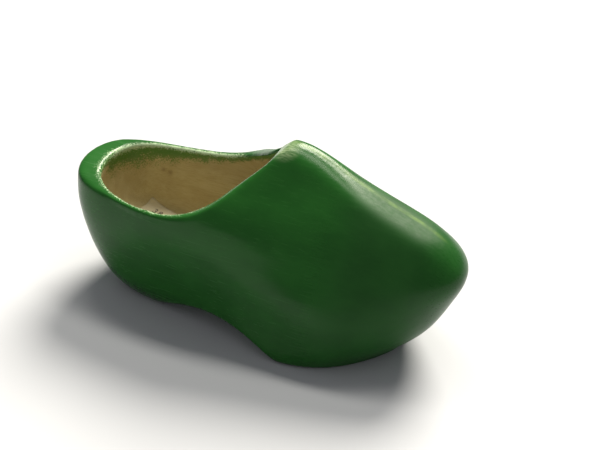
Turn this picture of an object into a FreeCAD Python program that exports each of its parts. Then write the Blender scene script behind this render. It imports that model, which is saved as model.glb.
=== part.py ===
"""A right-foot wooden clog, carved from one block of poplar, with the paper size label stuck inside its heel.

Millimetres. +X points to the toe, +Y to the inner side of the foot, +Z up. The clog stands on z = 0 on its heel
and on the ball of its sole, with a hollow arch between them.

The carved block is lofted through level outlines, as a last-maker draws them: each outline is one closed spline
whose poles come from seven measures of that level. The foot hollow is lofted the same way, from a tilted
footbed up to the mouth. A side profile saws the mouth's rim, and another one the arch under the sole.
"""

import FreeCAD
import Part
import math
import os
import Sketcher

FIRST_ROW = 2  # row of the sheet that holds the first dimension
DEGREE = 3  # of every spline

# Measures of one level outline: its height at the tilt line, its tilt, where it starts and ends along X, its
# half-widths at the heel, waist, ball and toe, the half-width of its tip, and how far the tip and the back of
# the heel lean to +Y.
MEASURES = ["height", "tilt", "rear", "front", "heel", "waist", "ball", "toe", "tip", "tip_lean", "heel_lean"]

OUTSIDE = [
    (0, 0, 32, 246, 30.0, 36.0, 55.5, 53.0, 20.0, 4.0, 0.0),
    (15, 0, 20, 258, 38.5, 39.5, 54.0, 57.0, 22.0, 3.0, 0.0),
    (33, 0, 10, 271, 41.0, 41.0, 51.5, 57.5, 24.0, 3.0, 0.0),
    (52, 0, 3, 280, 41.5, 46.0, 49.5, 51.5, 24.0, 4.0, 0.0),
    (70, 0, 0, 284.5, 41.0, 50.0, 42.0, 39.5, 24.5, 4.0, 0.0),
    (88, 0, 1, 269, 38.5, 49.0, 36.0, 29.5, 18.0, 5.0, 0.0),
    (105, 0, 3, 227, 35.0, 42.5, 26.0, 22.5, 13.0, 7.0, 0.0),
    (117, 0, 6, 198, 32.0, 34.5, 16.0, 16.0, 10.0, 10.0, 0.0),
    (130, 0, 10, 150, 30.0, 25.5, 8.5, 8.0, 6.0, 11.0, 0.0),
]

HOLLOW = [
    (38, 6.5, 25, 237, 26.0, 25.0, 33.0, 34.0, 15.0, 4.0, 3.0),
    (41, 6.5, 20, 246, 30.0, 30.0, 39.5, 41.0, 18.0, 4.0, 3.0),
    (46, 6.5, 17, 254, 32.0, 34.0, 43.5, 45.0, 20.0, 4.0, 3.0),
    (56, 5.5, 14, 258, 34.0, 37.5, 44.0, 44.0, 19.0, 4.0, 3.0),
    (71, 3.5, 15, 246, 34.5, 41.0, 39.0, 36.0, 17.0, 4.0, 3.0),
    (88, 1.5, 19, 222, 32.0, 42.0, 28.0, 23.0, 13.0, 5.0, 3.0),
    (105, 0, 22, 188, 28.0, 35.5, 18.0, 14.0, 11.0, 7.0, 3.0),
    (122, 0, 26, 139, 25.0, 26.0, 12.0, 11.0, 10.0, 7.0, 3.0),
    (145, 0, 32, 100, 22.0, 16.0, 10.0, 9.0, 8.0, 7.0, 3.0),
]

# Poles of an outline, from the back of the heel round the outer side, the toe and the inner side: the share of
# the way from rear to front, which half-width it stands at and how much of it, and how much of each lean.
POLES = [
    (0.000, "heel", 0.00, 0.00, 1.0),
    (0.035, "heel", -0.80, 0.00, 1.0),
    (0.170, "heel", -1.04, 0.00, 0.5),
    (0.380, "waist", -1.00, 0.00, 0.0),
    (0.600, "ball", -1.05, 0.10, 0.0),
    (0.820, "toe", -1.00, 0.45, 0.0),
    (0.970, "tip", -1.00, 1.00, 0.0),
    (1.000, "tip", 0.00, 1.00, 0.0),
    (0.960, "tip", 1.00, 1.00, 0.0),
    (0.860, "toe", 0.92, 0.75, 0.0),
    (0.670, "ball", 1.00, 0.30, 0.0),
    (0.400, "waist", 1.00, 0.00, 0.0),
    (0.170, "heel", 1.04, 0.00, 0.5),
    (0.035, "heel", 0.80, 0.00, 1.0),
]

# Side profile of the mouth's rim, as the poles of an open spline in X and Z.
RIM = [(-25, 89), (8, 86), (42, 84.5), (84, 83.5), (110, 91), (130, 107), (149, 125.5), (172, 147)]

SINGLE = {
    "tilt_line": 40.0,  # X of the line that every tilted outline turns about
    "arch_start": 74.0,  # X where the heel ends
    "arch_end": 174.0,  # X where the ball of the sole begins
    "arch_rise": 14.0,
    "arch_end_round": 6.0,
    "sole_edge_round": 4.0,
    "rim_outer_round": 2.5,
    "rim_inner_round": 1.5,
    "footbed_round": 4.0,
    "label_long": 38.0,
    "label_wide": 24.0,
    "label_thick": 0.3,
    "label_corner": 2.5,
    "label_turn": -12.0,  # degrees, anticlockwise seen from above
    "label_from_line": 15.0,  # middle of the label, from the tilt line towards the toe
    "label_aside": 8.0,
}


def fill_sheet(document):
    """Every dimension in one spreadsheet: a name in column A, its number in column B under an alias."""
    sheet = document.addObject("Spreadsheet::Sheet", "sizes")
    values = dict(SINGLE)
    for shape_name, levels in (("outside", OUTSIDE), ("hollow", HOLLOW)):
        for number, level in enumerate(levels):
            for measure, value in zip(MEASURES, level):
                values[f"{shape_name}_{measure}_{number}"] = value
    for number, (along, up) in enumerate(RIM):
        values[f"rim_along_{number}"] = along
        values[f"rim_up_{number}"] = up
    for row, (name, value) in enumerate(values.items(), FIRST_ROW):
        sheet.set(f"A{row}", name)
        sheet.set(f"B{row}", str(value))
        sheet.setAlias(f"B{row}", name)
    document.recompute()
    return sheet


def origin_plane(body, role):
    return next(feature for feature in body.Origin.OriginFeatures if feature.Role == role)


def new_sketch(body, name, role):
    sketch = body.newObject("Sketcher::SketchObject", name)
    sketch.AttachmentSupport = [(origin_plane(body, role), "")]
    sketch.MapMode = "FlatFace"
    return sketch


def pin(sketch, geometry, point, place, expressions):
    """Ties one point, now at the given place, to two expressions, measured from the sketch's origin."""
    for direction, now, expression in zip(("DistanceX", "DistanceY"), place, expressions):
        index = sketch.addConstraint(Sketcher.Constraint(direction, -1, 1, geometry, point, now))
        sketch.setExpression(f"Constraints[{index}]", expression)


def add_spline(sketch, poles, closed, expressions):
    """A cubic spline whose poles follow the expressions, through the small circles that hold the poles."""
    curve = Part.BSplineCurve(poles, None, None, closed, DEGREE, None, False)
    spline = sketch.addGeometry(curve, False)
    sketch.exposeInternalGeometry(spline)
    circles = [
        number for number, item in enumerate(sketch.Geometry) if item.TypeId == "Part::GeomCircle"
    ]
    for circle, pole, pair in zip(circles, poles, expressions):
        pin(sketch, circle, 3, pole, pair)
    return spline


def outline_points(level):
    """Where the poles of one level's outline stand, in the level's own plane."""
    size = dict(zip(MEASURES, level))
    span = size["front"] - size["rear"]
    return [
        FreeCAD.Vector(
            size["rear"] + share * span,
            part * size[width] + at_tip * size["tip_lean"] + at_heel * size["heel_lean"],
            0,
        )
        for share, width, part, at_tip, at_heel in POLES
    ]


def outline_expressions(prefix, number):
    def cell(measure):
        return f"sizes.{prefix}_{measure}_{number}"

    span = f"({cell('front')} - {cell('rear')})"
    return [
        (
            f"{cell('rear')} + {share} * {span}",
            f"{part} * {cell(width)} + {at_tip} * {cell('tip_lean')} + {at_heel} * {cell('heel_lean')}",
        )
        for share, width, part, at_tip, at_heel in POLES
    ]


def tilt_plane(sketch, prefix, number, level):
    """Lifts and tilts the sketch's plane as one level of the sheet says."""
    tilt = f"sizes.{prefix}_tilt_{number}"
    height = f"sizes.{prefix}_height_{number}"
    sketch.AttachmentOffset = FreeCAD.Placement(
        FreeCAD.Vector(0, 0, level[0]), FreeCAD.Rotation(FreeCAD.Vector(0, 1, 0), max(level[1], 0.001))
    )
    sketch.setExpression("AttachmentOffset.Rotation.Angle", f"{tilt} * 1deg")
    sketch.setExpression("AttachmentOffset.Base.z", f"{height} + sizes.tilt_line * tan({tilt} * 1deg)")


def level_sketch(body, prefix, number, level):
    """One level outline, in a plane at its height that is tilted about the tilt line."""
    sketch = new_sketch(body, f"{prefix}_level_{number}", "XY_Plane")
    tilt_plane(sketch, prefix, number, level)
    add_spline(sketch, outline_points(level), True, outline_expressions(prefix, number))
    return sketch


def loft(body, kind, prefix, levels):
    sketches = [level_sketch(body, prefix, number, level) for number, level in enumerate(levels)]
    body.Document.recompute()
    feature = body.newObject(kind, f"{prefix}_loft")
    feature.Profile = sketches[0]
    feature.Sections = sketches[1:]
    feature.Ruled = False
    body.Document.recompute()
    return feature


def saw_through(body, sketch, name):
    """Cuts the sketch's profile right through, both ways."""
    pocket = body.newObject("PartDesign::Pocket", name)
    pocket.Profile = sketch
    pocket.Type = "ThroughAll"
    pocket.Midplane = True
    body.Document.recompute()
    return pocket


def arch_profile(body):
    """A round arch under the sole, closed by its chord on the floor."""
    sketch = new_sketch(body, "arch_profile", "XZ_Plane")
    start, end, rise = (SINGLE[name] for name in ("arch_start", "arch_end", "arch_rise"))
    corners = [FreeCAD.Vector(start, 0, 0), FreeCAD.Vector((start + end) / 2, rise, 0), FreeCAD.Vector(end, 0, 0)]
    arc = sketch.addGeometry(Part.Arc(*corners), False)
    chord = sketch.addGeometry(Part.LineSegment(corners[2], corners[0]), False)
    # Part.Arc runs anticlockwise, so its first point is the one at the ball of the sole.
    sketch.addConstraint(Sketcher.Constraint("Coincident", arc, 1, chord, 1))
    sketch.addConstraint(Sketcher.Constraint("Coincident", arc, 2, chord, 2))
    pin(sketch, chord, 1, corners[2], ("sizes.arch_end", "0"))
    pin(sketch, chord, 2, corners[0], ("sizes.arch_start", "0"))
    radius = sketch.addConstraint(Sketcher.Constraint("Radius", arc, sketch.Geometry[arc].Radius))
    half = "(sizes.arch_end - sizes.arch_start) / 2"
    sketch.setExpression(f"Constraints[{radius}]", f"(({half})^2 + sizes.arch_rise^2) / (2 * sizes.arch_rise)")
    return sketch


def rim_profile(body):
    """Everything above the rim's spline, seen from the side."""
    sketch = new_sketch(body, "rim_profile", "XZ_Plane")
    poles = [FreeCAD.Vector(along, up, 0) for along, up in RIM]
    cells = [(f"sizes.rim_along_{number}", f"sizes.rim_up_{number}") for number in range(len(RIM))]
    spline = add_spline(sketch, poles, False, cells)
    corner = FreeCAD.Vector(poles[0].x, poles[-1].y, 0)
    top = sketch.addGeometry(Part.LineSegment(poles[-1], corner), False)
    back = sketch.addGeometry(Part.LineSegment(corner, poles[0]), False)
    sketch.addConstraint(Sketcher.Constraint("Coincident", spline, 2, top, 1))
    sketch.addConstraint(Sketcher.Constraint("Coincident", top, 2, back, 1))
    sketch.addConstraint(Sketcher.Constraint("Coincident", back, 2, spline, 1))
    sketch.addConstraint(Sketcher.Constraint("Horizontal", top))
    sketch.addConstraint(Sketcher.Constraint("Vertical", back))
    return sketch


def edges_between(shape, first, second):
    """Names of the edges that part a face passing one test from a face passing the other."""
    found = []
    for number, edge in enumerate(shape.Edges, 1):
        faces = shape.ancestorsOfType(edge, Part.Face)
        if any(first(face) for face in faces) and any(second(face) for face in faces):
            found.append(f"Edge{number}")
    return found


def largest_curved_faces(shape):
    """The two lofted faces of the block: the outside, then the hollow."""
    curved = [face for face in shape.Faces if face.Surface.TypeId == "Part::GeomBSplineSurface"]
    return sorted(curved, key=lambda face: face.Area, reverse=True)[:2]


def is_rim(face):
    return face.Surface.TypeId == "Part::GeomSurfaceOfExtrusion"


def is_footbed(face):
    return face.Surface.TypeId == "Part::GeomPlane" and face.CenterOfMass.z > SINGLE["arch_rise"]


def is_sole(face):
    return face.Surface.TypeId == "Part::GeomPlane" and face.CenterOfMass.z < SINGLE["arch_rise"]


def is_arch(face):
    return face.Surface.TypeId == "Part::GeomCylinder"


def is_underneath(face):
    return face.Surface.TypeId != "Part::GeomBSplineSurface" and face.CenterOfMass.z < SINGLE["arch_rise"]


def fillet(body, name, edges, cell):
    """Rounds edges of the body's last feature."""
    base = body.Tip
    feature = body.newObject("PartDesign::Fillet", name)
    feature.Base = (base, edges)
    feature.setExpression("Radius", f"sizes.{cell} * 1mm")
    body.Document.recompute()
    return feature


def carve_block(document):
    """The wooden block: outside, arch, mouth, hollow, then its rounded edges."""
    body = document.addObject("PartDesign::Body", "clog_body")
    loft(body, "PartDesign::AdditiveLoft", "outside", OUTSIDE)
    saw_through(body, arch_profile(body), "arch")
    saw_through(body, rim_profile(body), "mouth")
    loft(body, "PartDesign::SubtractiveLoft", "hollow", HOLLOW)

    shape = body.Tip.Shape
    fillet(body, "arch_ends", edges_between(shape, is_arch, is_sole), "arch_end_round")

    shape = body.Tip.Shape
    outside = largest_curved_faces(shape)[0]
    fillet(body, "rim_outer_edge", edges_between(shape, is_rim, outside.isSame), "rim_outer_round")

    shape = body.Tip.Shape
    hollow = largest_curved_faces(shape)[1]
    fillet(body, "rim_inner_edge", edges_between(shape, is_rim, hollow.isSame), "rim_inner_round")

    shape = body.Tip.Shape
    hollow = largest_curved_faces(shape)[1]
    fillet(body, "footbed_edge", edges_between(shape, is_footbed, hollow.isSame), "footbed_round")

    shape = body.Tip.Shape
    outside = largest_curved_faces(shape)[0]
    fillet(body, "sole_edge", edges_between(shape, is_underneath, outside.isSame), "sole_edge_round")
    return body


def stick_label(document):
    """The paper label: a rectangle with round corners, lying on the heel of the footbed and turned a little."""
    body = document.addObject("PartDesign::Body", "size_label")
    sketch = new_sketch(body, "label_outline", "XY_Plane")
    tilt_plane(sketch, "hollow", 0, HOLLOW[0])
    turn = math.radians(SINGLE["label_turn"])
    middle = FreeCAD.Vector(SINGLE["tilt_line"] + SINGLE["label_from_line"], SINGLE["label_aside"], 0)
    corners, expressions = [], []
    for side, end in ((-1, -1), (-1, 1), (1, 1), (1, -1)):
        along, across = end * SINGLE["label_long"] / 2, side * SINGLE["label_wide"] / 2
        corners.append(
            middle
            + FreeCAD.Vector(
                along * math.cos(turn) - across * math.sin(turn),
                along * math.sin(turn) + across * math.cos(turn),
                0,
            )
        )
        long_half, wide_half = f"{end} * sizes.label_long / 2", f"{side} * sizes.label_wide / 2"
        cosine, sine = "cos(sizes.label_turn * 1deg)", "sin(sizes.label_turn * 1deg)"
        expressions.append(
            (
                f"sizes.tilt_line + sizes.label_from_line + {long_half} * {cosine} - {wide_half} * {sine}",
                f"sizes.label_aside + {long_half} * {sine} + {wide_half} * {cosine}",
            )
        )
    lines = [
        sketch.addGeometry(Part.LineSegment(corners[number], corners[(number + 1) % 4]), False)
        for number in range(4)
    ]
    for number, line in enumerate(lines):
        sketch.addConstraint(Sketcher.Constraint("Coincident", line, 2, lines[(number + 1) % 4], 1))
        pin(sketch, line, 1, corners[number], expressions[number])
    pad = body.newObject("PartDesign::Pad", "paper")
    pad.Profile = sketch
    pad.setExpression("Length", "sizes.label_thick * 1mm")
    document.recompute()
    short = [
        f"Edge{number}"
        for number, edge in enumerate(pad.Shape.Edges, 1)
        if edge.Length < SINGLE["label_thick"] * 1.01
    ]
    fillet(body, "label_corners", short, "label_corner")
    return body


def stand_at_origin(bodies, block):
    """Moves everything so that the origin is the middle of the block's bounding box, on the floor."""
    box = block.Shape.optimalBoundingBox(False)
    for body in bodies:
        body.Placement.Base = FreeCAD.Vector(-box.Center.x, -box.Center.y, -box.ZMin)


def check(document, bodies):
    for item in document.Objects:
        if any(word in ("Invalid", "Error") for word in item.State):
            raise RuntimeError(f"{item.Name} does not recompute")
    for body in bodies:
        if not body.Shape.isValid() or len(body.Shape.Solids) != 1:
            raise RuntimeError(f"{body.Name} is not one valid solid")


def build():
    document = FreeCAD.newDocument("wooden_clog")
    fill_sheet(document)
    block = carve_block(document)
    label = stick_label(document)
    stand_at_origin([block, label], block)
    document.recompute()
    check(document, [block, label])
    os.makedirs("parts", exist_ok=True)
    for body in (block, label):
        body.Shape.exportStep(f"parts/{body.Name}.step")
        box = body.Shape.optimalBoundingBox(False)
        sides = (box.XMin, box.XMax, box.YMin, box.YMax, box.ZMin, box.ZMax)
        print(body.Name, " ".join(f"{side:.2f}" for side in sides), f"volume {body.Shape.Volume:.0f}")


build()
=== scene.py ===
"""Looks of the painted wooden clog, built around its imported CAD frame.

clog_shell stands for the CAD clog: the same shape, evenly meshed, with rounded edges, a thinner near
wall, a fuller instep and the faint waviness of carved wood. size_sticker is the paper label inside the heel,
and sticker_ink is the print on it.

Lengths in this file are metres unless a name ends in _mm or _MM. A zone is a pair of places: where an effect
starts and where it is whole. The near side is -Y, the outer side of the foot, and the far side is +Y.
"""

import math

import bmesh
import bpy
import numpy as np
from mathutils import Matrix, Vector, kdtree, noise
from mathutils.bvhtree import BVHTree


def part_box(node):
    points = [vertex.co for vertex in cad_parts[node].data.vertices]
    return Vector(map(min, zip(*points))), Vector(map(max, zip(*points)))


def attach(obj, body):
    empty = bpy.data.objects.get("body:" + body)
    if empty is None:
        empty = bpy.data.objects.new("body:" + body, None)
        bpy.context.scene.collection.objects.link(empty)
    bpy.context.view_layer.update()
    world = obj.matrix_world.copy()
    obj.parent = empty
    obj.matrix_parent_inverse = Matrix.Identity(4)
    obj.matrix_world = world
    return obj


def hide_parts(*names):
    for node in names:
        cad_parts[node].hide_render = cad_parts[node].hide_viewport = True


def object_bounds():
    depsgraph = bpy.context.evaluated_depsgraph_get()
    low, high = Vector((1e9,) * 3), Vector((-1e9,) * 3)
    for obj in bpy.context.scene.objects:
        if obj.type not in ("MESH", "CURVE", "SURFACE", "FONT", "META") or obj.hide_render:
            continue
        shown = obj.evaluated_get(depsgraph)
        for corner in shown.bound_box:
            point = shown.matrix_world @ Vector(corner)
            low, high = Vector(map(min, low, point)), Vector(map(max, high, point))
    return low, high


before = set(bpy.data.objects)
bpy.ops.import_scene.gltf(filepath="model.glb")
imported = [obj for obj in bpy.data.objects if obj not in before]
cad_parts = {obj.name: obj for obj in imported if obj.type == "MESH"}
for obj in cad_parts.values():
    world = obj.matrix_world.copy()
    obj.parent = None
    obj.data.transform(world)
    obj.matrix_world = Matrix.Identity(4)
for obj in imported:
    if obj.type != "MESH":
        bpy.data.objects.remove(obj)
cad_low, cad_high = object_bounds()

MM = 0.001
scene = bpy.context.scene

# ---------------------------------------------------------------- shape of the shell
VOXEL_MM = 1.38  # edge length of the shell's mesh
WELD = 1e-6  # points nearer to each other than this become one
SMOOTHING = 0.5  # how far one pass moves a point towards the middle of its neighbours
BLOCK_PASSES, INSTEP_PASSES, RUBBED_PASSES = 4, 12, 3
INSTEP_ZONE_X_MM, INSTEP_ZONE_Z_MM = (-15, 5), (70, 85)

# the hollow's middle line: how far short it stops at the heel and the toe, its y, and its height at each end
HOLLOW_SHORT_MM, HOLLOW_Y_MM, HOLLOW_HEIGHT_MM = (35, 40), 3, (60, 45)
LIP_ABOVE_MM = 60  # nothing lower is taken for the mouth's lip

# how much nearer the outside the near rim's inner edge lies than in CAD: x in mm, then the shift in mm
NEAR_RIM_X_MM = (-122, -109, -101, -93, -85, -77, -69, -61, -53, -45, -37)
NEAR_RIM_SHIFT_MM = (0.0, 1.9, 3.6, 4.2, 4.6, 4.3, 3.4, 2.8, 1.9, 0.8, 0.0)
NEAR_RIM_ZONE_Y_MM = (0, -12)
NEAR_RIM_INSIDE_MM, NEAR_RIM_OUTSIDE_MM = 30, 8.5  # how far from the lip the shift reaches on each side

# the ridge of the instep: x in mm, then y in mm
RIDGE_X_MM, RIDGE_Y_MM = (10, 45, 90, 139), (11, 8, 5, 2)
# the swell beside the ridge: its height on the near and far side, how far off it is highest, and its width
SWELL_NEAR_MM, SWELL_FAR_MM, SWELL_OFF_MM, SWELL_WIDE_MM = 1.5, 0.7, 10, 8
SWELL_TOE_NEAR_MM, SWELL_TOE_OFF_MM = 0.4, 3  # what its near height and its distance gain towards the toe
SWELL_TOE_ZONE_X_MM, SWELL_ZONE_Z_MM = (45, 85), (60, 75)
SWELL_START_X_MM, SWELL_END_X_MM = (5, 25), (130, 105)

# waviness: its height, then its wavelength along each axis; the first two are outside and the last is inside
BROAD_MM, BROAD_WAVE_MM = 0.16, (34, 22, 22)
PLANED_MM, PLANED_WAVE_MM = 0.04, (60, 5.5, 5.5)
SCOOPED_MM, SCOOPED_WAVE_MM = 0.10, (9, 26, 26)
WAVY_ZONE_Z_MM = (1, 8)  # the treads stay flat

# ---------------------------------------------------------------- places of the paint and its wear
# how deep the spray reached inside the mouth: x in mm, then mm from the lip
SPRAY_X_MM, SPRAY_DEEP_MM = (-140, -115, -96, -70, -30, 140), (17, 15, 11, 6, 3, 3)
# the most that it reached on the near wall, and how much more on the far wall
SPRAY_NEAR_MM, SPRAY_FARTHER_MM, SPRAY_ZONE_Y_MM = 4, 13, (-6, 12)
# how it thins: the share of that depth, then how much of the wood is covered
SPRAY_SHARE, SPRAY_COVER = (0, 0.5, 1.0, 1.6, 2.4), (1.2, 1.0, 0.5, 0.05, -1.0)
FULL_COVER = 3.0  # well over 1, so that no speck of wood shows on the outside

# worn paint along the lip, which on the far rim is also a painted highlight
# the pale band along the lip: all along the near side, and on the far side only behind the instep
RUB_NEAR_ZONE_Y_MM, RUB_FAR_ZONE_X_MM = (20, 0), (-20, -50)
# its width, and how much wider it is on the near side at two places: x in mm, then mm
RUB_WIDE_MM, RUB_NEAR_X_MM, RUB_NEAR_WIDER_MM = 1.9, (-120, -95), (3.4, 1.9)
RUB_WHOLE = 0.25  # the share of its width, next to the lip, that is rubbed most
# how much fainter it is on the near side: x in mm, then the share
RUB_FAINT_X_MM, RUB_FAINTER = (-120, -95, -45, 10), (0.56, 0.44, 0.5, 0.65)
HEEL_RUB_ZONE_X_MM, HEEL_RUB_WIDER_MM, HEEL_RUB_FAINTER = (-96, -124), 3.5, 0.22

# the end of the peak, with scratches and a painted highlight: its middle, and where it starts and is whole
PEAK_AT_MM, PEAK_ZONE_MM = (10, 6, 128), (13, 4)
KNOTS_AT_MM, KNOT_MM = ((-97.5, 35.6, 63.5), (-92.5, 36.2, 62.0)), 1.6
# the line of thin paint and painted highlight along the ridge: its y at the ridge's x, and how far to each
# side it goes
CREST_Y_MM, CREST_ZONE_MM = (12, 10.5, 9, 6), (2.6, 0.4)
CREST_START_X_MM, CREST_END_X_MM, CREST_ABOVE_MM = (3, 15), (128, 110), 60
# the paint is dull on the toe, but the tip has this share less of that
TOE_ZONE_X_MM, TIP_ZONE_X_MM, TIP_GLOSS = (35, 90), (98, 124), 0.7

# ---------------------------------------------------------------- label
LABEL_LONG_MM, LABEL_WIDE_MM, LABEL_CORNER_MM = 38.0, 24.0, 2.5
LABEL_TURN = math.radians(-12.0)
LABEL_SHIFT_MM = (-0.5, 5.0)  # from the CAD label, so that its far corner runs up the foot of the wall
LABEL_THICK_MM, LABEL_LIFT_MM = 0.25, 0.12
# its far corner at the toe end curls up: where that starts, over what length, and how high it gets there
CURL_FROM_MM, CURL_OVER_MM, CURL_HIGH_MM = 24, 7, 1.2
ABOVE_FOOTBED_MM = 75  # inside the hollow, over the whole label
INK_AT_MM, INK_STEP_MM = (-9.5, 4.0), 4.6  # the first digit's middle, along and across the label
INK_WIDE_MM, INK_LIFT_MM, INK_THICK_MM = 0.7, 0.42, 0.05
ARC_STEP = 15  # degrees
DIGIT_LOOP_MM = 1.15  # from a digit's middle to the middle of each of its loops
THREE_LOOPS_MM, EIGHT_LOOPS_MM = (1.05, 1.15), (1.0, 1.2)  # radius of the upper and the lower loop

# ---------------------------------------------------------------- camera, floor and light
CAMERA_AT = Vector((0.2949, -0.6559, 0.5764))
CAMERA_AZIMUTH, CAMERA_ELEVATION, CAMERA_ROLL = (math.radians(a) for a in (23.6, 36.6, 1.58))
CAMERA_LENS_MM, CAMERA_SENSOR_MM = 78.82, 36.0
CAMERA_SHIFT = (0.038, 0.0513)
FLOOR_SIZE, FLOOR_COLOUR = 6.0, (0.57, 0.575, 0.62, 1)
LIGHT_DISTANCE = 1.45
# where each light comes from: its azimuth from +Y towards +X and its elevation, in degrees
WINDOW_FROM, WINDOW_WIDE, WINDOW_STRENGTH, WINDOW_COLOUR = (3, 43), math.radians(29), 6.2, (1.0, 0.96, 0.83)
SKYLIGHT_FROM, SKYLIGHT_SIZE, SKYLIGHT_WATTS, SKYLIGHT_COLOUR = (0, 74), (1.1, 0.22), 10, (1.0, 0.98, 0.86)
SKY_LIGHT, SKY_SEEN = 0.26, 0.95  # the sky gives a little light and looks nearly white


def smoothstep(low, high, x):
    t = np.clip((np.asarray(x, float) - low) / (high - low), 0, 1)
    return t * t * (3 - 2 * t)


def new_object(name, data):
    made = bpy.data.objects.new(name, data)
    scene.collection.objects.link(made)
    return made


# ---------------------------------------------------------------- shell
def even_mesh(node):
    """The CAD node's shape as an even quad mesh."""
    welded = bmesh.new()
    welded.from_mesh(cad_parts[node].data)
    bmesh.ops.remove_doubles(welded, verts=welded.verts, dist=WELD)
    source = bpy.data.meshes.new("welded")
    welded.to_mesh(source)
    welded.free()
    carrier = new_object("carrier", source)
    remesh = carrier.modifiers.new("even", "REMESH")
    remesh.mode, remesh.voxel_size, remesh.use_smooth_shade = "VOXEL", VOXEL_MM * MM, True
    depsgraph = bpy.context.evaluated_depsgraph_get()
    made = bpy.data.meshes.new_from_object(carrier.evaluated_get(depsgraph))
    bpy.data.objects.remove(carrier)
    made.name = "clog_shell"
    made.materials.clear()
    return made


def read(elements, name, width, kind=np.float32):
    """A property of some mesh elements as an array with one row for each."""
    flat = np.zeros(len(elements) * width, kind)
    elements.foreach_get(name, flat)
    return flat.reshape(-1, width)


def relaxed(points, edges, weight, passes):
    """In each pass, every point moves towards the middle of its neighbours, as far as its weight says."""
    valence = np.bincount(edges.ravel(), minlength=len(points)).astype(float)
    for _ in range(passes):
        total = np.zeros_like(points)
        for axis in range(points.shape[1]):
            total[:, axis] += np.bincount(edges[:, 0], points[edges[:, 1], axis], len(points))
            total[:, axis] += np.bincount(edges[:, 1], points[edges[:, 0], axis], len(points))
        points = points + weight[:, None] * (total / valence[:, None] - points)
    return points


def facing_hollow(points, normals):
    """Near 1 where a surface looks into the hollow, near -1 where it looks away from it."""
    low, high = cad_low.x, cad_high.x
    share = np.clip((points[:, 0] - low) / (high - low), 0, 1)
    heel_short, toe_short = HOLLOW_SHORT_MM
    heel_height, toe_height = HOLLOW_HEIGHT_MM
    middle = np.stack(
        [
            np.clip(points[:, 0], low + heel_short * MM, high - toe_short * MM),
            np.full(len(points), HOLLOW_Y_MM * MM),
            (heel_height + share * (toe_height - heel_height)) * MM,
        ],
        axis=1,
    )
    inward = middle - points
    inward /= np.linalg.norm(inward, axis=1)[:, None]
    return (inward * normals).sum(1)


def distance_mm(points, chosen):
    """Distance from each point to the nearest chosen one."""
    picked = np.nonzero(chosen)[0]
    tree = kdtree.KDTree(len(picked))
    for i in picked:
        tree.insert(points[i], int(i))
    tree.balance()
    return np.array([tree.find(p)[2] for p in points]) / MM


def waves(points, wavelengths_mm, seed):
    """Smooth noise from about -1 to 1, with one wavelength for each axis."""
    smoothness, lacunarity, octaves = 1.0, 2.0, 2
    scaled = points / (np.array(wavelengths_mm) * MM) + seed
    return np.array([noise.fractal(p, smoothness, lacunarity, octaves) for p in scaled])


class Skin:
    """The shell's mesh with rounded edges, and where each of its points is on the clog.

    inside is true in the hollow, and lip_mm is the distance from the mouth's lip. These, x_mm and y_mm are
    those of the rounded shape, and stay as they are while later steps move the points a little.
    """

    def __init__(self, mesh):
        self.mesh = mesh
        self.edges = read(mesh.edges, "vertices", 2, np.int32)
        self.evenly = np.full(len(mesh.vertices), SMOOTHING)
        self.place(relaxed(read(mesh.vertices, "co", 3).astype(float), self.edges, self.evenly, BLOCK_PASSES))
        facing = facing_hollow(self.points, self.normals)
        self.inside = facing > 0

        # the instep and the peak are rounder than their CAD edges
        on_instep = smoothstep(*INSTEP_ZONE_X_MM, self.points[:, 0] / MM)
        on_instep *= smoothstep(*INSTEP_ZONE_Z_MM, self.points[:, 2] / MM)
        self.place(relaxed(self.points, self.edges, SMOOTHING * on_instep, INSTEP_PASSES))
        self.x_mm, self.y_mm = self.points[:, 0] / MM, self.points[:, 1] / MM

        # the lip is where the surface turns from facing the hollow to facing away from it
        turning = facing[self.edges[:, 0]] * facing[self.edges[:, 1]] < 0
        at_lip = np.zeros(len(self.points), bool)
        at_lip[self.edges[turning].ravel()] = True
        self.lip_mm = distance_mm(self.points, at_lip & self.above(LIP_ABOVE_MM))

    def above(self, height_mm):
        return self.points[:, 2] > height_mm * MM

    def place(self, points):
        """Moves the mesh's points and takes its new normals."""
        self.points = points
        self.mesh.vertices.foreach_set("co", points.astype(np.float32).ravel())
        self.mesh.update()
        self.normals = read(self.mesh.vertex_normals, "vector", 3).astype(float)

    def write(self, name, values):
        """Gives each point a number that the material reads."""
        field = self.mesh.attributes.new(name, "FLOAT", "POINT")
        field.data.foreach_set("value", np.asarray(values, np.float32))


def thin_near_wall(skin):
    """The near wall thins towards its rim."""
    shift = np.interp(skin.x_mm, NEAR_RIM_X_MM, NEAR_RIM_SHIFT_MM, left=0, right=0)
    shift *= smoothstep(*NEAR_RIM_ZONE_Y_MM, skin.y_mm)
    fade_inside = 1 - smoothstep(0, NEAR_RIM_INSIDE_MM, skin.lip_mm)
    fade_outside = 1 - np.clip(skin.lip_mm / NEAR_RIM_OUTSIDE_MM, 0, 1)
    shift *= np.where(skin.inside, fade_inside, fade_outside)
    skin.points[:, 1] -= shift * MM


def fill_instep(skin):
    """The instep is fuller on both sides of its ridge."""
    ridge_y = np.interp(skin.x_mm, RIDGE_X_MM, RIDGE_Y_MM)
    from_ridge = np.abs(skin.y_mm - ridge_y)
    to_toe = smoothstep(*SWELL_TOE_ZONE_X_MM, skin.x_mm)
    full = np.where(skin.y_mm < ridge_y, SWELL_NEAR_MM + SWELL_TOE_NEAR_MM * to_toe, SWELL_FAR_MM)
    off = from_ridge - SWELL_OFF_MM - SWELL_TOE_OFF_MM * to_toe
    on_top = smoothstep(*SWELL_ZONE_Z_MM, skin.points[:, 2] / MM)
    full *= np.exp(-((off / SWELL_WIDE_MM) ** 2)) * ~skin.inside * on_top
    full *= smoothstep(*SWELL_START_X_MM, skin.x_mm) * smoothstep(*SWELL_END_X_MM, skin.x_mm)
    skin.place(skin.points + skin.normals * (full * MM)[:, None])


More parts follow.
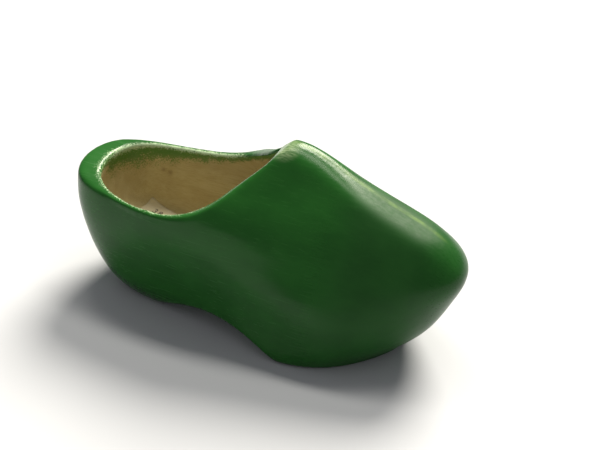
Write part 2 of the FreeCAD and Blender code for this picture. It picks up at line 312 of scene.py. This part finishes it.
def carve_waves(skin):
    """The waviness of wood that was carved and planed by hand."""
    off_floor = smoothstep(*WAVY_ZONE_Z_MM, skin.points[:, 2] / MM)
    broad = BROAD_MM * waves(skin.points, BROAD_WAVE_MM, seed=11.3)
    planed = PLANED_MM * waves(skin.points, PLANED_WAVE_MM, seed=4.7)
    scooped = SCOOPED_MM * waves(skin.points, SCOOPED_WAVE_MM, seed=23.1)
    push = np.where(skin.inside, scooped, broad + planed) * off_floor
    points = skin.points + skin.normals * (push * MM)[:, None]
    points[:, 2] = np.maximum(points[:, 2], 0)
    skin.place(points)


def sprayed(skin):
    """How much of the wood the sprayed paint covers: 1 or more is all of it, and 0 or less is none."""
    reach = np.interp(skin.x_mm, SPRAY_X_MM, SPRAY_DEEP_MM)
    reach = np.minimum(reach, SPRAY_NEAR_MM + SPRAY_FARTHER_MM * smoothstep(*SPRAY_ZONE_Y_MM, skin.y_mm))
    return np.where(skin.inside, np.interp(skin.lip_mm / reach, SPRAY_SHARE, SPRAY_COVER), FULL_COVER)


def lip_wear_and_highlight(skin):
    """Wear along the lip, and a painted highlight on the far rim: more widely but fainter on the near side
    and at the heel.
    """
    near = smoothstep(*RUB_NEAR_ZONE_Y_MM, skin.y_mm)
    width = RUB_WIDE_MM + near * np.interp(skin.x_mm, RUB_NEAR_X_MM, RUB_NEAR_WIDER_MM)
    amount = 1.0 - near * np.interp(skin.x_mm, RUB_FAINT_X_MM, RUB_FAINTER)
    at_heel = smoothstep(*HEEL_RUB_ZONE_X_MM, skin.x_mm) * skin.inside
    width += HEEL_RUB_WIDER_MM * at_heel
    amount *= 1 - HEEL_RUB_FAINTER * at_heel
    along_lip = np.maximum(near, smoothstep(*RUB_FAR_ZONE_X_MM, skin.x_mm))
    band = smoothstep(width, RUB_WHOLE * width, skin.lip_mm) * amount * along_lip
    return relaxed(band[:, None], skin.edges, skin.evenly, RUBBED_PASSES)[:, 0]


def scratched_and_highlit(skin):
    """How near the end of the peak a point is, where the paint bears scratches and a painted highlight."""
    from_peak = np.linalg.norm(skin.points / MM - PEAK_AT_MM, axis=1)
    return smoothstep(*PEAK_ZONE_MM, from_peak) * ~skin.inside


def knotty(skin):
    """Two small knots in the bare wood."""
    from_knots = (np.linalg.norm(skin.points / MM - at, axis=1) for at in KNOTS_AT_MM)
    return np.maximum(*(np.exp(-((distance / KNOT_MM) ** 2)) for distance in from_knots))


def thin_paint_and_highlight_on_crest(skin):
    """The thin yellowish line along the crest: thin paint, and a painted highlight."""
    on_crest = smoothstep(*CREST_START_X_MM, skin.x_mm) * smoothstep(*CREST_END_X_MM, skin.x_mm)
    on_crest *= ~skin.inside * skin.above(CREST_ABOVE_MM)
    from_crest = np.abs(skin.y_mm - np.interp(skin.x_mm, RIDGE_X_MM, CREST_Y_MM))
    return on_crest * smoothstep(*CREST_ZONE_MM, from_crest)


mesh = even_mesh("clog_body")
skin = Skin(mesh)
thin_near_wall(skin)
fill_instep(skin)
carve_waves(skin)
skin.write("cover", sprayed(skin))
skin.write("lip_wear_and_highlight", lip_wear_and_highlight(skin))
skin.write("peak", scratched_and_highlit(skin))
skin.write("knot", knotty(skin))
skin.write("crest", thin_paint_and_highlight_on_crest(skin))
at_toe = smoothstep(*TOE_ZONE_X_MM, skin.x_mm)
# painted shade: the paint's colour darkens towards the toe
skin.write("toe", at_toe)
skin.write("dull", at_toe * (1 - TIP_GLOSS * smoothstep(*TIP_ZONE_X_MM, skin.x_mm)))
mesh.update()
shell = new_object("clog_shell", mesh)
for polygon in mesh.polygons:
    polygon.use_smooth = True


# ---------------------------------------------------------------- materials
class Nodes:
    """A material's node tree, with short calls that return the node's output."""

    def __init__(self, name):
        self.material = bpy.data.materials.new(name)
        self.material.use_nodes = True
        self.tree = self.material.node_tree
        self.tree.nodes.clear()
        self.output = self.tree.nodes.new("ShaderNodeOutputMaterial")

    def put(self, socket, value):
        if isinstance(value, bpy.types.NodeSocket):
            self.tree.links.new(value, socket)
        elif value is not None:
            socket.default_value = value

    def add(self, kind, out=0, **inputs):
        node = self.tree.nodes.new("ShaderNode" + kind)
        for key, value in inputs.items():
            self.put(node.inputs[key], value)
        return node.outputs[out]

    def attribute(self, name):
        node = self.tree.nodes.new("ShaderNodeAttribute")
        node.attribute_name = name
        return node.outputs["Fac"]

    def math(self, operation, a, b):
        node = self.tree.nodes.new("ShaderNodeMath")
        node.operation = operation
        self.put(node.inputs[0], a)
        self.put(node.inputs[1], b)
        return node.outputs[0]

    def rise(self, value, low, high, to_low=0.0, to_high=1.0):
        """value mapped smoothly from low..high to to_low..to_high."""
        node = self.tree.nodes.new("ShaderNodeMapRange")
        node.interpolation_type = "SMOOTHSTEP"
        for socket, given in zip(node.inputs, (value, low, high, to_low, to_high)):
            self.put(socket, given)
        return node.outputs[0]

    def scaled(self, x, y, z):
        """Object coordinates stretched so that one noise cell is x, y, z mm."""
        where = self.add("TexCoord", out="Object")
        node = self.tree.nodes.new("ShaderNodeMapping")
        self.put(node.inputs["Vector"], where)
        node.inputs["Scale"].default_value = (1 / (x * MM), 1 / (y * MM), 1 / (z * MM))
        return node.outputs[0]

    def noise(self, vector, detail=2.0, roughness=0.5, distortion=0.0):
        return self.add(
            "TexNoise", Vector=vector, Scale=1.0, Detail=detail, Roughness=roughness, Distortion=distortion
        )

    def mix(self, factor, a, b):
        node = self.tree.nodes.new("ShaderNodeMix")
        node.data_type = "RGBA"
        self.put(node.inputs[0], factor)
        self.put(node.inputs[6], a)
        self.put(node.inputs[7], b)
        return node.outputs[2]

    def bump(self, height, distance_mm, strength):
        return self.add("Bump", Height=height, Strength=strength, Distance=distance_mm * MM)

    def surface(self, colour, roughness, normal, **constants):
        node = self.tree.nodes.new("ShaderNodeBsdfPrincipled")
        self.put(node.inputs["Base Color"], colour)
        self.put(node.inputs["Roughness"], roughness)
        self.put(node.inputs["Normal"], normal)
        for key, value in constants.items():
            node.inputs[key.replace("_", " ")].default_value = value
        self.tree.links.new(node.outputs[0], self.output.inputs[0])
        return self.material


def rgb(red, green, blue):
    """An sRGB colour, 0 to 255, as the linear colour that sockets take."""
    return tuple(
        c / 12.92 if c <= 0.04045 else ((c + 0.055) / 1.055) ** 2.4
        for c in (red / 255, green / 255, blue / 255)
    ) + (1.0,)


def bare_wood(n, fibres):
    """Poplar, with its grain along the foot and two small knots."""
    pale, deep, mottled = rgb(188, 176, 135), rgb(178, 164, 123), rgb(166, 150, 108)
    streaked, pore_brown, knot_brown = rgb(153, 134, 94), rgb(124, 100, 64), rgb(98, 72, 42)
    bands = n.noise(n.scaled(90, 6, 8), detail=2, distortion=0.6)
    mottle = n.noise(n.scaled(14, 9, 9), detail=3)
    pores = n.noise(n.scaled(3.5, 0.2, 0.2), detail=1)
    wood = n.mix(n.rise(bands, 0.3, 0.7), pale, deep)
    wood = n.mix(n.rise(mottle, 0.35, 0.7, 0, 0.5), wood, mottled)
    wood = n.mix(n.rise(fibres, 0.4, 0.75, 0, 0.6), wood, streaked)
    wood = n.mix(n.rise(pores, 0.62, 0.75, 0, 0.4), wood, pore_brown)
    return n.mix(n.math("MULTIPLY", n.attribute("knot"), 0.55), wood, knot_brown)


def green_paint(n, cover, streak):
    """Gloss paint, thin enough for the grain to show faintly: darker on the toe, a painted shade, and thin on
    the crest, with a painted highlight.
    """
    deep, fresh, light = rgb(28, 82, 27), rgb(33, 90, 31), rgb(39, 96, 35)
    toe_shade_green, crest_thin_and_highlight_yellow, thin_green = rgb(10, 48, 11), rgb(120, 152, 66), rgb(57, 117, 40)
    cloud = n.noise(n.scaled(30, 18, 18), detail=3)
    green = n.mix(n.rise(cloud, 0.35, 0.65), deep, fresh)
    green = n.mix(n.rise(streak, 0.45, 0.75, 0, 0.35), green, light)
    # painted shade: darker green towards the toe
    green = n.mix(n.math("MULTIPLY", n.attribute("toe"), 0.4), green, toe_shade_green)
    patchy = n.rise(n.noise(n.scaled(8, 8, 8), detail=3), 0.35, 0.65, 0.1, 0.4)
    # thin paint and a painted highlight: a lighter yellow line along the crest
    green = n.mix(n.math("MULTIPLY", n.attribute("crest"), patchy), green, crest_thin_and_highlight_yellow)
    return n.mix(n.rise(cover, 1.9, 1.0), green, thin_green)


def spray_edge(n, cover):
    """1 where the wood is painted and 0 where it is bare: the spray ends in specks, along a ragged line."""
    specks = n.noise(n.scaled(0.9, 0.9, 0.9), detail=3, roughness=0.7)
    ragged = n.noise(n.scaled(8, 8, 8), detail=3)
    edge = n.math("SUBTRACT", cover, 0.5)
    edge = n.math("ADD", edge, n.math("MULTIPLY", n.math("SUBTRACT", specks, 0.5), 3.1))
    edge = n.math("ADD", edge, n.math("SUBTRACT", ragged, 0.5))
    return n.rise(edge, -0.05, 0.08)


def worn_and_highlit(n, colour):
    """The colour with its wear and painted highlights: pale and broken at the lip, with scratches across the
    rim at the peak.
    """
    lip_wear_and_highlight_green, scratched_and_highlight_green = rgb(200, 220, 182), rgb(186, 204, 160)
    lip_wear_and_highlight = n.attribute("lip_wear_and_highlight")
    grains = n.noise(n.scaled(1.0, 1.0, 1.0), detail=4, roughness=0.8)
    broken = n.math("ADD", lip_wear_and_highlight, n.math("MULTIPLY", n.math("SUBTRACT", grains, 0.5), 3.3))
    pale = n.math("MULTIPLY", n.rise(broken, 0.42, 0.66, 0, 0.75), n.rise(lip_wear_and_highlight, 0.0, 0.12))
    # the pale lip: worn paint, and on the far rim a painted highlight
    colour = n.mix(pale, colour, lip_wear_and_highlight_green)
    scratches = n.noise(n.scaled(5, 0.6, 5), detail=3, roughness=0.6)
    scraped_and_highlit = n.math("MULTIPLY", n.attribute("peak"), n.rise(scratches, 0.3, 0.7, 0.1, 0.6))
    # scratches across the rim at the peak, lightened as a painted highlight
    return n.mix(scraped_and_highlit, colour, scratched_and_highlight_green)


def painted_wood():
    gloss_roughness, dull_roughness, bare_roughness = 0.23, 0.52, 0.62
    n = Nodes("painted_wood")
    cover = n.attribute("cover")
    fibres = n.noise(n.scaled(24, 0.6, 0.6), detail=5, roughness=0.6)
    streak = n.noise(n.scaled(40, 1.6, 1.6), detail=3, roughness=0.6)
    painted = spray_edge(n, cover)
    film = n.math("MULTIPLY", painted, n.rise(cover, 0.4, 1.6, 0.74, 1.0))
    colour = worn_and_highlit(n, n.mix(film, bare_wood(n, fibres), green_paint(n, cover, streak)))

    gloss = n.rise(n.attribute("dull"), 0, 1, gloss_roughness, dull_roughness)
    roughness = n.rise(painted, 0, 1, bare_roughness, gloss)
    roughness = n.math("ADD", roughness, n.rise(streak, 0.3, 0.7, -0.03, 0.05))
    relief = n.math("ADD", n.math("MULTIPLY", fibres, 0.6), n.math("MULTIPLY", streak, 0.4))
    return n.surface(colour, roughness, n.bump(relief, 0.04, 0.4), Specular_IOR_Level=0.185)


def label_paper():
    n = Nodes("label_paper")
    fibre = n.noise(n.scaled(0.5, 0.5, 0.5), detail=3)
    colour = n.mix(n.rise(fibre, 0.3, 0.7), rgb(206, 196, 168), rgb(194, 183, 154))
    return n.surface(colour, 0.7, n.bump(fibre, 0.02, 0.4), Specular_IOR_Level=0.3)


def label_ink():
    n = Nodes("label_ink")
    patchy = n.noise(n.scaled(0.4, 0.4, 0.4), detail=2)
    return n.surface(n.mix(patchy, rgb(52, 42, 36), rgb(84, 68, 56)), 0.6, None, Specular_IOR_Level=0.3)


mesh.materials.append(painted_wood())


# ---------------------------------------------------------------- label
shell_tree = BVHTree.FromPolygons(
    [vertex.co for vertex in mesh.vertices], [tuple(polygon.vertices) for polygon in mesh.polygons]
)


def on_footbed(x, y, lift_mm):
    """The point lift_mm above the footbed at x, y."""
    hit = shell_tree.ray_cast(Vector((x, y, ABOVE_FOOTBED_MM * MM)), Vector((0, 0, -1)))[0]
    return hit + Vector((0, 0, lift_mm * MM))


label_low, label_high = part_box("size_label")
label_middle = (label_low + label_high) / 2


def label_place(u_mm, v_mm, lift_mm):
    """The point of the label that is u_mm along it and v_mm across it."""
    turn = Matrix.Rotation(LABEL_TURN, 2)
    across = turn @ Vector((u_mm, v_mm)) * MM
    shift_x, shift_y = (part * MM for part in LABEL_SHIFT_MM)
    return on_footbed(label_middle.x + shift_x + across.x, label_middle.y + shift_y + across.y, lift_mm)


def label_sheet():
    """A grid of about 1 mm with round corners, which lies on the footbed and curls up at one corner."""
    steps_u, steps_v = round(LABEL_LONG_MM), round(LABEL_WIDE_MM)
    half_u, half_v, corner = LABEL_LONG_MM / 2, LABEL_WIDE_MM / 2, LABEL_CORNER_MM
    sheet = bmesh.new()
    rows = []
    for i in range(steps_u + 1):
        row = []
        for j in range(steps_v + 1):
            u, v = (2 * i / steps_u - 1) * half_u, (2 * j / steps_v - 1) * half_v
            over_u, over_v = abs(u) - (half_u - corner), abs(v) - (half_v - corner)
            if over_u > 0 and over_v > 0:
                pull = max(over_u, over_v) / math.hypot(over_u, over_v)
                u = math.copysign(half_u - corner + over_u * pull, u)
                v = math.copysign(half_v - corner + over_v * pull, v)
            curl = max(0.0, (u + v - CURL_FROM_MM) / CURL_OVER_MM) ** 2 * CURL_HIGH_MM
            row.append(sheet.verts.new(label_place(u, v, LABEL_LIFT_MM + curl)))
        rows.append(row)
    for i in range(steps_u):
        for j in range(steps_v):
            sheet.faces.new((rows[i][j], rows[i + 1][j], rows[i + 1][j + 1], rows[i][j + 1]))
    made = bpy.data.meshes.new("size_sticker")
    sheet.to_mesh(made)
    sheet.free()
    return made


sticker = new_object("size_sticker", label_sheet())
thick = sticker.modifiers.new("paper", "SOLIDIFY")
thick.thickness, thick.offset = LABEL_THICK_MM * MM, 1
for polygon in sticker.data.polygons:
    polygon.use_smooth = True
sticker.data.materials.append(label_paper())


def add_arc(ink, u_mm, v_mm, radius, start, end):
    """A band along part of a circle printed on the label, from start to end degrees."""
    steps = int(abs(end - start) / ARC_STEP)
    pairs = []
    for k in range(steps + 1):
        angle = math.radians(start + (end - start) * k / steps)
        sides = (radius - INK_WIDE_MM / 2, radius + INK_WIDE_MM / 2)
        pairs.append([
            ink.verts.new(label_place(u_mm + r * math.cos(angle), v_mm + r * math.sin(angle), INK_LIFT_MM))
            for r in sides
        ])
    for (a, b), (c, d) in zip(pairs, pairs[1:]):
        ink.faces.new((a, b, d, c))


def label_print():
    """The size number 38, each digit of two arcs, one above the other."""
    ink = bmesh.new()
    left, middle = INK_AT_MM
    right, top, bottom = left + INK_STEP_MM, middle + DIGIT_LOOP_MM, middle - DIGIT_LOOP_MM
    add_arc(ink, left, top, THREE_LOOPS_MM[0], 160, -90)
    add_arc(ink, left, bottom, THREE_LOOPS_MM[1], 90, -160)
    add_arc(ink, right, top, EIGHT_LOOPS_MM[0], 0, 360)
    add_arc(ink, right, bottom, EIGHT_LOOPS_MM[1], 0, 360)
    bmesh.ops.remove_doubles(ink, verts=ink.verts, dist=WELD)
    bmesh.ops.recalc_face_normals(ink, faces=ink.faces)
    made = bpy.data.meshes.new("sticker_ink")
    ink.to_mesh(made)
    ink.free()
    return made


ink = new_object("sticker_ink", label_print())
film = ink.modifiers.new("film", "SOLIDIFY")
film.thickness, film.offset = INK_THICK_MM * MM, 1
ink.data.materials.append(label_ink())


# ---------------------------------------------------------------- floor, light, camera
def floor():
    slab = bmesh.new()
    bmesh.ops.create_grid(slab, x_segments=2, y_segments=2, size=FLOOR_SIZE)
    made = bpy.data.meshes.new("floor")
    slab.to_mesh(made)
    slab.free()
    ground = new_object("floor", made)
    made.materials.append(Nodes("floor").surface(FLOOR_COLOUR, 0.9, None, Specular_IOR_Level=0.1))


def light(name, kind, come_from, **settings):
    """A soft light aimed at the clog, from an azimuth and an elevation in degrees."""
    lamp = bpy.data.lights.new(name, kind)
    for key, value in settings.items():
        setattr(lamp, key, value)
    made = new_object(name, lamp)
    azimuth, elevation = (math.radians(angle) for angle in come_from)
    level = math.cos(elevation)
    direction = Vector((math.sin(azimuth) * level, math.cos(azimuth) * level, math.sin(elevation)))
    made.location = direction * LIGHT_DISTANCE
    made.rotation_mode = "QUATERNION"
    made.rotation_quaternion = direction.to_track_quat("Z", "Y")


def studio():
    world = bpy.data.worlds.new("studio")
    world.use_nodes = True
    nodes, links = world.node_tree.nodes, world.node_tree.links
    sky = nodes["Background"].inputs
    sky["Color"].default_value = (1, 1, 1, 1)
    strength = nodes.new("ShaderNodeMapRange")
    strength.inputs["To Min"].default_value, strength.inputs["To Max"].default_value = SKY_LIGHT, SKY_SEEN
    links.new(nodes.new("ShaderNodeLightPath").outputs["Is Camera Ray"], strength.inputs["Value"])
    links.new(strength.outputs[0], sky["Strength"])
    scene.world = world
    light("window", "SUN", WINDOW_FROM, angle=WINDOW_WIDE, energy=WINDOW_STRENGTH, color=WINDOW_COLOUR)
    long, wide = SKYLIGHT_SIZE
    light(
        "skylight",
        "AREA",
        SKYLIGHT_FROM,
        shape="RECTANGLE",
        size=long,
        size_y=wide,
        energy=SKYLIGHT_WATTS,
        color=SKYLIGHT_COLOUR,
    )
    scene.view_settings.view_transform = "Standard"
    scene.view_settings.look = "None"


def camera():
    lens = bpy.data.cameras.new("camera")
    lens.lens, lens.sensor_width = CAMERA_LENS_MM, CAMERA_SENSOR_MM
    lens.shift_x, lens.shift_y = CAMERA_SHIFT
    lens.clip_start, lens.clip_end = 0.01, 50
    made = new_object("camera", lens)
    azimuth, elevation, roll = CAMERA_AZIMUTH, CAMERA_ELEVATION, CAMERA_ROLL
    level = math.cos(elevation)
    back = Vector((math.sin(azimuth) * level, -math.cos(azimuth) * level, math.sin(elevation)))
    right = Vector((math.cos(azimuth), math.sin(azimuth), 0))
    up = back.cross(right)
    rolled_right = right * math.cos(roll) + up * math.sin(roll)
    rolled_up = up * math.cos(roll) - right * math.sin(roll)
    made.matrix_world = Matrix.Translation(CAMERA_AT) @ Matrix(
        (rolled_right, rolled_up, back)
    ).transposed().to_4x4()
    scene.camera = made


floor()
studio()
camera()

# ---------------------------------------------------------------- pieces and bodies
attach(shell, "root")
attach(sticker, "root")
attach(ink, "root")
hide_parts("clog_body")
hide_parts("size_label")
